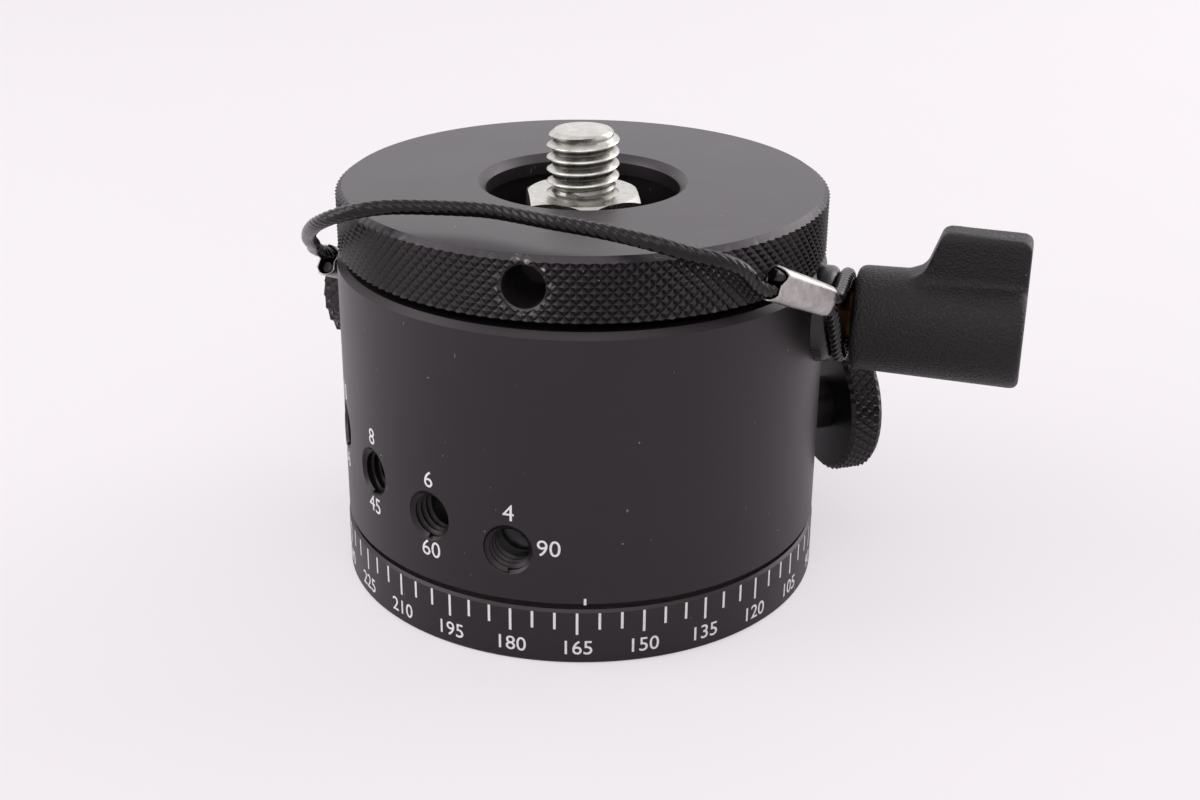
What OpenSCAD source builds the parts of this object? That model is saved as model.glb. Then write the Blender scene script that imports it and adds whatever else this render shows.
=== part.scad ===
// Panoramic tripod head: an indexed base that a housing turns on, with a camera stud,
// a knurled locking collar, two clamping knobs and a tethered spring plunger.
// Millimetres, +Z up the pan axis, origin at the middle of the base's underside.
// Azimuths are in degrees from +X, anticlockwise seen from above; the front is -90.

/* [Base] */
// Outer diameter of the base and its scale ring
base_d = 65; // [63:0.5:70]
// Height of the base plate
base_h = 7.7; // [7:0.1:10]
// Depth of the relief under the base
base_relief = 0.6; // [0.3:0.1:1]
// Chamfer on the base's edges
base_chamfer = 0.35; // [0.2:0.05:0.8]
// Core radius of the 3/8 inch tripod thread
socket_r = 3.97; // [3.9:0.01:4.1]
// Height of the groove that is left between base and housing
groove_h = 0.6; // [0.4:0.1:1]

/* [Housing] */
// How far the housing's side stands in from the base's rim
body_inset = 0.1; // [0:0.05:1]
// Wall of the housing round the index drum
body_wall = 5.8; // [4.5:0.1:7]
// Height of the housing's top face
body_top = 44.5; // [43:0.5:50]
// Chamfer on the housing's top edge
body_chamfer = 0.8; // [0.4:0.1:1.5]
// Thickness of the web under the top face
web_t = 2.5; // [2:0.1:4]
// Outer radius of the threaded neck that carries the collar
neck_r = 21; // [19:0.5:23]
// Height of the neck above the housing's top face
neck_h = 6.2; // [5:0.1:6.4]

/* [Index drum] */
// Gap between the drum's land and the housing's bore
drum_gap = 0.6; // [0.4:0.05:1.5]
// Radius of a dimple
dimple_r = 0.9; // [0.5:0.05:1]
// Depth of a dimple
dimple_depth = 0.8; // [0.4:0.1:1.5]
// Height of the first row of stops
row_z = 15.5; // [15:0.1:16.5]
// Rise from one row of stops to the next
row_rise = 2.1; // [1.9:0.05:2.15]
// Azimuth of the first index hole
row_az = -106.2; // [-110:0.2:-100]
// Turn from one index hole to the next
row_turn = 20; // [18:0.5:22]

/* [Index holes and plunger] */
// Radius of the plunger thread's hole
hole_r = 3; // [2.5:0.1:3.5]
// Number of the hole that holds the plunger, counted from 0
plunger_row = 6; // [5:1:7]
// Radius of the plunger's knurled knob
plunger_knob_r = 10.4; // [8:0.1:12]
// Length of the plunger's knurled knob
plunger_knob_length = 7.9; // [5:0.1:10]

/* [Locking knobs] */
// Azimuth of the wing knob that locks the pan
lock_az = -15.5; // [-20:0.5:-12]
// Height of the wing knob's axis
lock_z = 38.5; // [37:0.1:39]
// Length of the wing knob's hub
hub_length = 21.3; // [16:0.1:26]
// Radius of the hub at its outer end
hub_r = 7.1; // [6.5:0.1:8]
// Reach of the wing's tip from the axis
wing_reach = 12.8; // [10:0.1:15]
// Length of the wing along the hub
wing_length = 11.2; // [8:0.1:13]
// Thickness of the wing
wing_t = 4.8; // [3:0.1:6]
// Radius of the lock's thread
lock_r = 3.9; // [3:0.1:4]
// Azimuth of the knurled knob that sets the drag
drag_az = 18; // [14:0.5:24]
// Height of the knurled knob's axis
drag_z = 17.2; // [14.5:0.1:20]
// Radius of the knurled knob
drag_knob_r = 10.1; // [8:0.1:11]
// Thickness of the knurled knob
drag_knob_length = 4.7; // [3.5:0.1:6]
// Radius of the drag screw
drag_r = 2.95; // [2.5:0.05:3.5]

/* [Collar] */
// How far the collar's knurl stands in from the housing's side
collar_inset = 0.15; // [0:0.05:1.5]
// Height of the collar
collar_h = 8.3; // [8:0.1:10]
// Gap between the housing and the collar
collar_gap = 0.9; // [0.3:0.1:1.2]
// Radius of the collar's central hole
collar_hole_r = 12.74; // [12:0.01:13.2]
// Chamfer on the collar's top edges
collar_chamfer = 1; // [0.5:0.1:1.5]
// Radius of the tommy bar's hole in the rim
tommy_r = 2.7; // [2:0.1:3]
// Azimuth of the tommy bar's hole
tommy_az = -102.4; // [-110:0.2:-90]

/* [Camera stud] */
// Radius of the 3/8 inch stud
stud_r = 4.7625; // [4.5:0.0125:5]
// Height of the stud's tip
stud_top = 60.4; // [58:0.1:64]
// Width of the stud nut across its flats
nut_af = 14.29; // [13:0.01:16]
// Height of the stud nut
nut_h = 5.67; // [4:0.01:6]
// Turn of the nut about the stud
nut_turn = 36; // [0:1:59]

/* [Tether] */
// Radius of the coated wire rope
rope_r = 0.95; // [0.7:0.05:1]
// Wall of the crimped sleeves
sleeve_wall = 0.35; // [0.2:0.05:0.6]

/* [Hidden] */
$fn = 96;

running = 0.05;     // radial clearance of a turning or sliding fit
free_gap = 0.3;     // clearance between parts that must not touch
tiny = 0.01;

// Heights, from the base up
base_r = base_d / 2;
body_r = base_r - body_inset;
bore_r = body_r - body_wall;
drum_r = bore_r - drum_gap;
body_z = base_h + groove_h;
web_z = body_top - web_t;
drum_top = web_z - free_gap;
foot_h = 3.3;
foot_r = 16.5;
lip_h = 4;
lip_top = base_h + foot_h + lip_h;
hub_outer_r = 15.5;
well_depth = 9.5;
well_z = body_top - well_depth;
bush_length = 10;
hub_z = well_z - bush_length;
well_r = 12.3;
bush_r = 11;
shaft_r = 9;
shaft_top = well_z - 0.1;
thread_r = 7;
plug_r = 13.5;
plug_z = body_top - 3.3;
plug_top = body_top + 0.5;
neck_top = body_top + neck_h;
collar_r = body_r - collar_inset;
collar_z = body_top + collar_gap;
collar_top = collar_z + collar_h;
tommy_z = collar_z + collar_h * 0.53;
washer_t = 1.4;
nut_z = plug_top + washer_t;
nut_top = nut_z + nut_h;
bush_flange_r = 10;
bush_flange_t = 1.5;
socket_bush_r = 8;
relief_from = socket_bush_r + 3;
relief_to = base_r - 4.5;
screw_pcd_r = (foot_r + drum_r) / 2;
screw_r = 2;
screw_head_r = 4;

// The index stops and the holes that choose between them
stops = [4, 6, 8, 10, 12, 15, 18, 24, 36, 72];
function stop_az(i) = row_az - row_turn * i;
function stop_z(i) = row_z + row_rise * i;
plunger_az = stop_az(plunger_row);
plunger_z = stop_z(plunger_row);

// Distances from the pan axis along the knobs' own axes
pad_tip = drum_r + 0.2;
pad_length = 2.1;
pad_play = 0.15;
pad_gap = 0.05;
spot_rho = body_r - 0.6;
bush_face = spot_rho + 2.4;
bush_head_r = 6.3;
lock_bore_r = lock_r + running;
lock_wall_r = lock_bore_r + 1.05;
eye_gap = 0.15;
lock_eye_rho = bush_face + eye_gap + rope_r;
hub_rho = lock_eye_rho + rope_r + 0.4;
hex_r = 3.3;
drag_boss_rho = body_r + 0.6;
drag_knob_rho = drag_boss_rho + 3.9;
drag_boss_r = 3.75;
barrel_r = hole_r - running;
barrel_tip = bore_r + 0.7;
shoulder_rho = body_r + free_gap;
shoulder_length = 1.9;
shoulder_r = 5.2;
plunger_neck_r = 3.4;
knob_seat = 4;
plunger_eye_rho = shoulder_rho + shoulder_length + 1.0 + rope_r;
plunger_knob_rho = plunger_eye_rho + rope_r + 0.45;
pin_tip = drum_r + 0.1;
pin_r = 1;
nose_r = 0.8;
flange_r = 1.45;
chamber_r = 1.55;
chamber_rho = barrel_tip + 0.9;
spring_r = 1.1;
spring_wire_r = 0.22;
spring_turns = 8;

// Radii of the rope's loops round the two necks, and the places of the crimped sleeves
lock_eye_r = lock_r + 0.3 + rope_r;
plunger_eye_r = plunger_neck_r + 0.3 + rope_r;
lock_sleeve_ends = [[22.4, -25.8, 48.7], [30, -20, 44.3]];
plunger_sleeve_ends = [[-36, 11, 38.6], [-32.4, 19, 34.3]];
socket_depth = 1.5;
leads = [0, socket_depth + 0.3, socket_depth + 1.6];    // the rope leaves a sleeve straight

// The tether's route over the collar, from the wing knob's side round to the plunger's
rope_route = [[20, -27.8, 49.5], [19.2, -28.9, 50.8], [17.8, -30.2, 52.2], [15.4, -31.4, 53.4],
    [12.1, -32, 54.3], [8.1, -32.3, 55.6], [4.2, -30.8, 56.1], [0.4, -29, 56.3], [-3.4, -27.2, 56.4],
    [-7, -25, 56.4], [-10.6, -23, 56.4], [-14.6, -21.7, 56.3], [-22.3, -20.6, 56.1],
    [-26.5, -20.4, 55.6], [-30, -18.8, 54.3], [-32.4, -15.8, 52.5], [-33.8, -12.3, 50.7],
    [-34.8, -8.6, 48.9], [-35.5, -4.9, 47], [-35.8, -1.1, 45.2], [-36.1, 2.1, 43.8],
    [-36.5, 4.7, 42.6], [-36.7, 6.9, 41.7], [-36.7, 8.7, 40.9]];

function unit(v) = v / norm(v);
function radial_dir(az) = [cos(az), sin(az), 0];
function arc(c, r, a0, a1, n) =
    [for (i = [0:n]) c + r * [cos(a0 + (a1 - a0) * i / n), sin(a0 + (a1 - a0) * i / n)]];

// A smooth curve through the points p, with s steps between each two of them
function curve_at(a, b, c, d, u) = 0.5 * (2 * b + (c - a) * u
    + (2 * a - 5 * b + 4 * c - d) * u * u + (3 * b - a - 3 * c + d) * u * u * u);
function smooth(p, s) = let (n = len(p) - 1) concat(
    [for (i = [0:n - 1], k = [0:s - 1])
        curve_at(p[max(i - 1, 0)], p[i], p[i + 1], p[min(i + 2, n)], k / s)], [p[n]]);

// A tube of radius r along the points p; side gives a direction that p never runs along
function tangent(p, i) = unit(p[min(i + 1, len(p) - 1)] - p[max(i - 1, 0)]);
function ring_at(c, t, side, r, n) = let (u = unit(cross(t, side)), v = cross(u, t))
    [for (k = [0:n - 1]) c + r * (cos(360 * k / n) * u + sin(360 * k / n) * v)];
module tube(p, side, r, n = 8) {
    m = len(p);
    points = [for (i = [0:m - 1]) each ring_at(p[i], tangent(p, i), side, r, n)];
    walls = [for (i = [0:m - 2], k = [0:n - 1])
        let (a = i * n + k, b = i * n + (k + 1) % n)
        each [[a, b, b + n], [a, b + n, a + n]]];
    ends = [for (k = [1:n - 2]) each [[0, k + 1, k],
        [(m - 1) * n, (m - 1) * n + k, (m - 1) * n + k + 1]]];
    polyhedron(points, concat(walls, ends));
}

// Stands children, made along +Z, on a horizontal line out from the pan axis
module outward(az, z) {
    rotate([0, 0, az]) translate([0, 0, z]) rotate([0, 90, 0]) children();
}
module rod(az, z, from, to, r) {
    outward(az, z) translate([0, 0, from]) cylinder(r = r, h = to - from);
}

// ---- Base, which stays on the tripod ----

module screw_places() {
    for (i = [0:2]) rotate([0, 0, 30 + 120 * i]) translate([screw_pcd_r, 0, 0]) children();
}

module base_plate() {
    c = base_chamfer;
    color("#26242a") difference() {
        rotate_extrude() polygon([[socket_bush_r, 0], [relief_from, 0], [relief_from, base_relief],
            [relief_to, base_relief], [relief_to, 0], [base_r - c, 0], [base_r, c], [base_r, base_h - c],
            [base_r - c, base_h], [bush_flange_r, base_h],
            [bush_flange_r, base_h - bush_flange_t], [socket_bush_r, base_h - bush_flange_t]]);
        screw_places() {
            cylinder(r = screw_r + 0.2, h = base_h * 3, center = true);
            translate([0, 0, base_relief - tiny])
                cylinder(r1 = screw_head_r + 0.1, r2 = screw_r + 0.2, h = 2.2);
        }
    }
}

module tripod_bush() {
    color("#b9b9b4") difference() {
        union() {
            cylinder(r = socket_bush_r, h = base_h);
            translate([0, 0, base_h - bush_flange_t]) cylinder(r = bush_flange_r, h = bush_flange_t);
        }
        translate([0, 0, -1]) cylinder(r = socket_r, h = base_h + 2);
    }
}

module spindle() {
    foot_top = base_h + foot_h;
    color("#a9aaac") difference() {
        rotate_extrude() polygon([[0, base_h], [foot_r, base_h], [foot_r, foot_top],
            [shaft_r, foot_top], [shaft_r, shaft_top], [thread_r, shaft_top],
            [thread_r, plug_z - 0.8], [thread_r - 0.5, plug_z - 0.3], [0, plug_z - 0.3]]);
        translate([0, 0, base_h - 1]) cylinder(r = stud_r + 0.4, h = 7.5);
    }
}

module index_drum() {
    color("#8f9196") difference() {
        rotate_extrude() polygon([[foot_r + 0.1, base_h], [bore_r - 0.1, base_h],
            [bore_r - 0.1, base_h + 3.8], [drum_r, base_h + 4.4], [drum_r, drum_top - 0.5],
            [drum_r - 0.5, drum_top], [hub_outer_r + 1.5, drum_top], [hub_outer_r + 1.5, lip_top],
            [shaft_r + 0.1, lip_top], [shaft_r + 0.1, base_h + foot_h],
            [foot_r + 0.1, base_h + foot_h]]);
        screw_places() translate([0, 0, base_h - 1]) cylinder(r = screw_r, h = 11);
        for (i = [0:len(stops) - 1], k = [0:stops[i] - 1])
            rod(stop_az(i) + 360 * k / stops[i], stop_z(i), drum_r - dimple_depth, drum_r + 1,
                dimple_r, $fn = 24);
    }
}

module drum_screws() {
    color("#b0b0b0") screw_places() translate([0, 0, base_relief + 0.1]) difference() {
        union() {
            cylinder(r1 = screw_head_r, r2 = screw_r, h = 2.1);
            cylinder(r = screw_r, h = base_h + 8);
        }
        translate([0, 0, -1]) cylinder(r = 1.3, h = 2.4, $fn = 6);
    }
}

module wave_washer() {
    n = 48;
    t = 0.5;
    lift = 0.35;
    inner = thread_r + 0.3;
    outer = bush_r + 0.4;
    level = well_z + 0.05 + lift;
    rows = [for (i = [0:n - 1]) let (a = 360 * i / n, z = level + lift * sin(3 * a))
        each [[inner * cos(a), inner * sin(a), z], [outer * cos(a), outer * sin(a), z],
            [outer * cos(a), outer * sin(a), z + t], [inner * cos(a), inner * sin(a), z + t]]];
    faces = [for (i = [0:n - 1], k = [0:3])
        let (a = 4 * i + k, b = 4 * i + (k + 1) % 4, c = 4 * ((i + 1) % n))
        each [[a, c + (k + 1) % 4, c + k], [a, b, c + (k + 1) % 4]]];
    color("#9a9a98") polyhedron(rows, faces);
}

washer_z = well_z + 0.05 + 2 * 0.35 + 0.5 + running;

module spindle_washer() {
    color("#b0b0ae") translate([0, 0, washer_z]) difference() {
        cylinder(r = bush_r + 0.6, h = 1.1);
        translate([0, 0, -1]) cylinder(r = thread_r + 0.1, h = 4);
    }
}

module spindle_nut() {
    z = washer_z + 1.1;
    h = plug_z - 0.6 - z;
    color("#8d8d8b") translate([0, 0, z]) difference() {
        cylinder(r = bush_r + 0.4, h = h);
        translate([0, 0, -1]) cylinder(r = thread_r, h = h + 2);
        for (a = [0:90:270]) rotate([0, 0, a]) translate([bush_r - 1.1, -1.2, -1])
            cube([4, 2.4, h + 2]);
    }
}

module thrust_ring() {
    color("#d8d4c8") translate([0, 0, base_h]) difference() {
        cylinder(r = body_r - 1.4, h = groove_h);
        translate([0, 0, -1]) cylinder(r = bore_r + 0.4, h = groove_h + 2);
    }
}

// ---- Housing, which pans, and what is fixed to it ----

module housing() {
    c = body_chamfer;
    color("#29272c") difference() {
        rotate_extrude() polygon([[bore_r, body_z], [body_r - 0.3, body_z],
            [body_r, body_z + 0.3], [body_r, body_top - c], [body_r - c, body_top],
            [neck_r, body_top], [neck_r, neck_top - 0.5], [neck_r - 0.5, neck_top],
            [plug_r, neck_top], [plug_r, plug_z], [well_r, plug_z], [well_r, well_z],
            [bush_r, well_z], [bush_r, hub_z], [hub_outer_r, hub_z], [hub_outer_r, web_z],
            [bore_r, web_z]]);
        for (i = [0:len(stops) - 1]) {
            rod(stop_az(i), stop_z(i), bore_r - 2, body_r + 2, hole_r);
            outward(stop_az(i), stop_z(i)) translate([0, 0, body_r - 0.4])
                cylinder(r1 = hole_r, r2 = hole_r + 0.6, h = 0.6);
        }
        rod(lock_az, lock_z, bore_r - 2, body_r + 2, lock_wall_r);
        rod(lock_az, lock_z, spot_rho, body_r + 2, bush_head_r + running);
        rod(drag_az, drag_z, bore_r - 2, body_r + 2, drag_r + running);
    }
}

module bronze_bush() {
    color("#a9834f") translate([0, 0, hub_z]) difference() {
        cylinder(r = bush_r, h = well_z - hub_z);
        translate([0, 0, -1]) cylinder(r = shaft_r + running, h = well_z - hub_z + 2);
    }
}

module stud_plug() {
    color("#232226") difference() {
        translate([0, 0, plug_z]) cylinder(r = plug_r, h = plug_top - plug_z);
        cylinder(r = stud_r, h = plug_top + 1);
        for (a = [60, 240]) rotate([0, 0, a]) translate([11.3, 0, plug_top - 2])
            cylinder(r = 1.1, h = 3);
    }
}

module camera_stud() {
    tip = 0.95;
    waist = 4.2;
    color("#b7b8b4") rotate_extrude() polygon([[0, plug_z + 0.3], [stud_r, plug_z + 0.3],
        [stud_r, nut_top], [waist, nut_top + 0.35], [waist, nut_top + 0.8],
        [stud_r, nut_top + 1.25], [stud_r, stud_top - tip], [stud_r - 1.05, stud_top],
        [0, stud_top]]);
}

module stud_washer() {
    color("#a8a8a4") translate([0, 0, plug_top]) difference() {
        cylinder(r = nut_af / 2 + 1.9, h = washer_t);
        translate([0, 0, -1]) cylinder(r = stud_r + 0.2, h = washer_t + 2);
    }
}

module stud_nut() {
    corner = nut_af / 2 / cos(30);
    edge = 0.75;
    color("#c2c3bf") difference() {
        intersection() {
            rotate([0, 0, nut_turn]) translate([0, 0, nut_z]) cylinder(r = corner, h = nut_h, $fn = 6);
            rotate_extrude() polygon([[0, nut_z], [corner - 1, nut_z], [corner + 0.2, nut_z + edge],
                [corner + 0.2, nut_top - edge], [corner - 1, nut_top], [0, nut_top]]);
        }
        cylinder(r = stud_r, h = nut_top + 1);
    }
}

module lock_bush() {
    round = 1.1;
    length = bush_face - bore_r - 0.6;
    color("#1c1b1e") outward(lock_az, lock_z) translate([0, 0, bush_face - length])
        rotate_extrude() polygon(concat([[lock_bore_r, 0], [lock_wall_r, 0],
            [lock_wall_r, length - 2.4], [bush_head_r, length - 2.4]],
            arc([bush_head_r - round, length - round], round, 0, 90, 8),
            [[lock_bore_r, length]]));
}

// ---- Collar, screwed up against whatever the stud carries ----

module collar() {
    c = collar_chamfer;
    color("#2e2c31") difference() {
        rotate_extrude() polygon([[neck_r + 0.1, collar_z], [collar_r - 0.4, collar_z],
            [collar_r, collar_z + 0.4], [collar_r, collar_top - c * 0.7],
            [collar_r - c, collar_top], [collar_hole_r + c, collar_top],
            [collar_hole_r, collar_top - c], [collar_hole_r, neck_top + free_gap],
            [neck_r + 0.1, neck_top + free_gap]]);
        rod(tommy_az, tommy_z, neck_r + 1.6, collar_r + 2, tommy_r);
        outward(tommy_az, tommy_z) translate([0, 0, collar_r - 0.5])
            cylinder(r1 = tommy_r, r2 = tommy_r + 0.7, h = 0.7);
    }
}

// ---- Wing knob that locks the pan ----

module lock_pad() {
    color("#e4e0d6") rod(lock_az, lock_z, pad_tip, pad_tip + pad_length, lock_r - pad_play);
}

module lock_screw() {
    color("#b98d3e") outward(lock_az, lock_z) {
        translate([0, 0, pad_tip + pad_length + pad_gap])
            cylinder(r = lock_r, h = bush_face - pad_tip - pad_length - pad_gap + 0.05);
        translate([0, 0, bush_face]) cylinder(r = hex_r, h = hub_rho + hub_length * 0.6 - bush_face, $fn = 6);
    }
}

// The wing's outline seen from the side: distance from the pan axis, height over the hub's axis
module wing_side() {
    end = hub_rho + hub_length;
    root = end - wing_length - 2;
    translate([0, lock_z]) polygon(concat([[root - 1.5, 0], [root - 1.5, hub_r - 1]],
        arc([root - 1.5, hub_r + 2], 2.4, -80, -15, 6),
        arc([end - wing_length + 1.2, wing_reach - 1.2], 1.2, 165, 95, 6),
        arc([end - 1.2, wing_reach - 1.5], 1.2, 85, 0, 6), [[end, 0]]));
}

// The wing's outline seen along the hub: a rounded blade that flares into the hub
module wing_end() {
    half = wing_t / 2;
    flare = 2.4;
    base = sqrt(hub_r * hub_r - (half + flare) * (half + flare));
    right = concat(arc([half - 1, wing_reach - 1], 1, 90, 0, 5),
        arc([half + flare, base + flare], flare, 180, 260, 6));
    translate([0, lock_z]) polygon(concat(right, [[half + flare - 0.6, 0]],
        [for (i = [0:len(right) - 1]) let (p = right[len(right) - 1 - i]) [-p[0], p[1]]]));
}

module wing_knob() {
    end = hub_rho + hub_length;
    color("#242226") difference() {
        union() {
            outward(lock_az, lock_z) rotate_extrude() polygon(concat([[0, hub_rho]],
                arc([hub_r - 1.4, hub_rho + 1], 1, -90, 0, 6),
                arc([hub_r - 0.8, end - 0.8], 0.8, 0, 90, 6), [[0, end]]));
            rotate([0, 0, lock_az]) intersection() {
                rotate([90, 0, 0]) linear_extrude(height = 4 * hub_r, center = true) wing_side();
                rotate([90, 0, 90]) linear_extrude(height = end) wing_end();
            }
        }
        outward(lock_az, lock_z) {
            translate([0, 0, hub_rho - 1]) cylinder(r = hex_r, h = hub_length * 0.6 + 1, $fn = 6);
            translate([0, 0, end - 0.6]) cylinder(r = hub_r - 2, h = 1);
        }
    }
}

// ---- Knurled knob that sets the drag ----

module drag_pad() {
    color("#e4e0d6") rod(drag_az, drag_z, pad_tip, pad_tip + pad_length, drag_r - pad_play);
}

module drag_screw() {
    color("#a5a5a2") rod(drag_az, drag_z, pad_tip + pad_length + pad_gap,
        drag_knob_rho + drag_knob_length * 0.7, drag_r);
}

module turned_knob(r, l, boss_r, boss_l, hole, depth) {
    c = 0.6;
    difference() {
        rotate_extrude() polygon([[0, -boss_l], [boss_r, -boss_l], [boss_r, 0], [r - c, 0], [r, c],
            [r, l - c], [r - c, l], [r * 0.6, l], [r * 0.6 - 0.5, l - 0.5], [0, l - 0.5]]);
        translate([0, 0, -boss_l - 1]) cylinder(r = hole, h = boss_l + 1 + depth);
    }
}

module drag_knob() {
    color("#232226") outward(drag_az, drag_z) translate([0, 0, drag_knob_rho])
        turned_knob(drag_knob_r, drag_knob_length, drag_boss_r, drag_knob_rho - drag_boss_rho, drag_r,
            drag_knob_length * 0.7);
}

// ---- Spring plunger that drops into the drum's dimples ----

module plunger_barrel() {
    seat = plunger_knob_rho;
    color("#8c8d90") outward(plunger_az, plunger_z) difference() {
        rotate_extrude() polygon([[0, barrel_tip], [barrel_r - 0.4, barrel_tip],
            [barrel_r, barrel_tip + 0.4], [barrel_r, shoulder_rho], [shoulder_r, shoulder_rho],
            [shoulder_r, shoulder_rho + shoulder_length], [plunger_neck_r, shoulder_rho + shoulder_length],
            [plunger_neck_r, seat], [barrel_r, seat], [barrel_r, seat + knob_seat], [0, seat + knob_seat]]);
        translate([0, 0, barrel_tip - 1]) cylinder(r = pin_r + running, h = 4);
        translate([0, 0, chamber_rho]) cylinder(r = chamber_r, h = seat - chamber_rho);
    }
}

module plunger_knob() {
    color("#2b2a2d") outward(plunger_az, plunger_z) translate([0, 0, plunger_knob_rho])
        turned_knob(plunger_knob_r, plunger_knob_length, barrel_r + 0.3, 0, barrel_r, knob_seat);
}

pin_flange = chamber_rho + running;

module index_pin() {
    color("#c9cac8") outward(plunger_az, plunger_z) rotate_extrude() polygon(concat(
        [[0, pin_flange + 3.4], [0, pin_tip]],
        arc([0, pin_tip + nose_r], nose_r, -80, 0, 8),
        [[pin_r, pin_tip + nose_r + 0.2], [pin_r, pin_flange], [flange_r, pin_flange],
            [flange_r, pin_flange + 0.8], [0.7, pin_flange + 0.8], [0.7, pin_flange + 3.4]]));
}

module plunger_spring() {
    from = pin_flange + 0.8 + spring_wire_r;
    to = plunger_knob_rho - spring_wire_r;
    steps = 8;
    n = spring_turns * steps;
    path = [for (i = [0:n]) [spring_r * cos(360 * i / steps), spring_r * sin(360 * i / steps),
        from + (to - from) * i / n]];
    color("#b5b5b5") outward(plunger_az, plunger_z) tube(path, [0, 0, 1], spring_wire_r, 6);
}

// ---- Tether: a coated wire rope with an eye at each end ----

// Unit vectors of a sleeve: along it, and across it from one strand to the other
function sleeve_axis(ends) = unit(ends[1] - ends[0]);
function sleeve_up(ends) = let (d = sleeve_axis(ends)) unit([0, 0, 1] - d[2] * d);
function strand_end(ends, which, side) = ends[which] + side * rope_r * sleeve_up(ends)
    + (which == 0 ? 1 : -1) * socket_depth * sleeve_axis(ends);

module sleeve(ends) {
    d = sleeve_axis(ends);
    up = sleeve_up(ends);
    side = cross(up, d);
    l = norm(ends[1] - ends[0]);
    o = ends[0];
    color("#bdbab6") multmatrix([[up[0], side[0], d[0], o[0]], [up[1], side[1], d[1], o[1]],
        [up[2], side[2], d[2], o[2]]]) difference() {
        union() {
            for (s = [-1, 1]) translate([s * rope_r, 0, 0]) cylinder(r = rope_r + sleeve_wall, h = l);
            translate([-rope_r, -rope_r - sleeve_wall, 0])
                cube([2 * rope_r, 2 * (rope_r + sleeve_wall), l]);
        }
        for (s = [-1, 1], z = [-1, l - socket_depth]) translate([s * rope_r, 0, z])
            cylinder(r = rope_r + running, h = 1 + socket_depth);
    }
}

// The rope's loop round a neck, from one strand's socket in the sleeve to the other's
function eye_route(az, z, rho, r, ends) = let (
    out = radial_dir(az), c = rho * out + [0, 0, z], t = cross(out, [0, 0, 1]),
    f = ends[1] - c, lean = f * out, a0 = atan2(f[2], f * t), d = sleeve_axis(ends),
    flip = (sleeve_up(ends) * (cos(a0 + 90) * t + sin(a0 + 90) * [0, 0, 1])) > 0 ? 1 : -1,
    arc_points = [for (i = [0:8]) let (a = a0 + 72 + 27 * i)
        c + r * (cos(a) * t + sin(a) * [0, 0, 1]) + lean * 0.12 * pow(abs(i - 4) / 4, 2) * out])
    concat([for (l = leads) strand_end(ends, 1, flip) + l * d], arc_points,
        [for (i = [2:-1:0]) strand_end(ends, 1, -flip) + leads[i] * d]);

module lock_eye() {
    color("#1b191a") tube(smooth(eye_route(lock_az, lock_z, lock_eye_rho, lock_eye_r,
        lock_sleeve_ends), 3), radial_dir(lock_az), rope_r);
}

module plunger_eye() {
    color("#1b191a") tube(smooth(eye_route(plunger_az, plunger_z, plunger_eye_rho, plunger_eye_r,
        plunger_sleeve_ends), 3), radial_dir(plunger_az), rope_r);
}

module lock_sleeve() sleeve(lock_sleeve_ends);
module plunger_sleeve() sleeve(plunger_sleeve_ends);

module tether_rope() {
    start = strand_end(lock_sleeve_ends, 0, -1);
    finish = strand_end(plunger_sleeve_ends, 0, 1);
    path = concat([for (l = leads) start - l * sleeve_axis(lock_sleeve_ends)], rope_route,
        [for (i = [2:-1:0]) finish - leads[i] * sleeve_axis(plunger_sleeve_ends)]);
    color("#1b191a") tube(smooth(path, 2), [0, 0, 1], rope_r);
}

base_plate();
tripod_bush();
spindle();
index_drum();
drum_screws();
wave_washer();
spindle_washer();
spindle_nut();
thrust_ring();
housing();
bronze_bush();
stud_plug();
camera_stud();
stud_washer();
stud_nut();
lock_bush();
collar();
lock_pad();
lock_screw();
wing_knob();
drag_pad();
drag_screw();
drag_knob();
plunger_barrel();
plunger_knob();
index_pin();
plunger_spring();
tether_rope();
lock_eye();
lock_sleeve();
plunger_eye();
plunger_sleeve();
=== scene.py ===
import bpy
import bmesh
import math
import random
from mathutils import Matrix, Vector


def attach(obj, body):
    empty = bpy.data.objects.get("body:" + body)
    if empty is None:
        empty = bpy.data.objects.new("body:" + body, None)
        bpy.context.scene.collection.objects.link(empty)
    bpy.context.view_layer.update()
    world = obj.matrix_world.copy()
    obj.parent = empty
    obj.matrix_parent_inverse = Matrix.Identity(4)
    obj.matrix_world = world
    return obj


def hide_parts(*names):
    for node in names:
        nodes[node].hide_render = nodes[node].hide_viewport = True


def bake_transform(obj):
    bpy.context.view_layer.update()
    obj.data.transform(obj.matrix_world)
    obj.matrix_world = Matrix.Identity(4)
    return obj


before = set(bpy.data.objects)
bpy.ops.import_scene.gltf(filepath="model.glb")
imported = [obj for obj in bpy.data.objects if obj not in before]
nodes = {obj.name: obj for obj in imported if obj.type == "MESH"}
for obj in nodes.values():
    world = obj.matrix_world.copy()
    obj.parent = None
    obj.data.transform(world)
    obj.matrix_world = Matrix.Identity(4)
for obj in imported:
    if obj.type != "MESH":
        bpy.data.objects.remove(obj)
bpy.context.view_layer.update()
mm = 0.001
upwards = Vector((0, 0, 1))

# Sizes that several pieces share, as the CAD gives them, in millimetres and degrees
head = {
    "baseRadius": 32.5, "bodyRadius": 32.4,
    "firstHoleTurn": -106.2, "firstHoleHeight": 15.5,
    "holeTurn": 20.0, "holeRise": 2.1, "holeRadius": 3.0, "plungerHole": 6,
    "stops": [4, 6, 8, 10, 12, 15, 18, 24, 36, 72],
}


def holePlace(i):
    turn = head["firstHoleTurn"] - head["holeTurn"] * i
    height = head["firstHoleHeight"] + head["holeRise"] * i
    return turn, height


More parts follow.
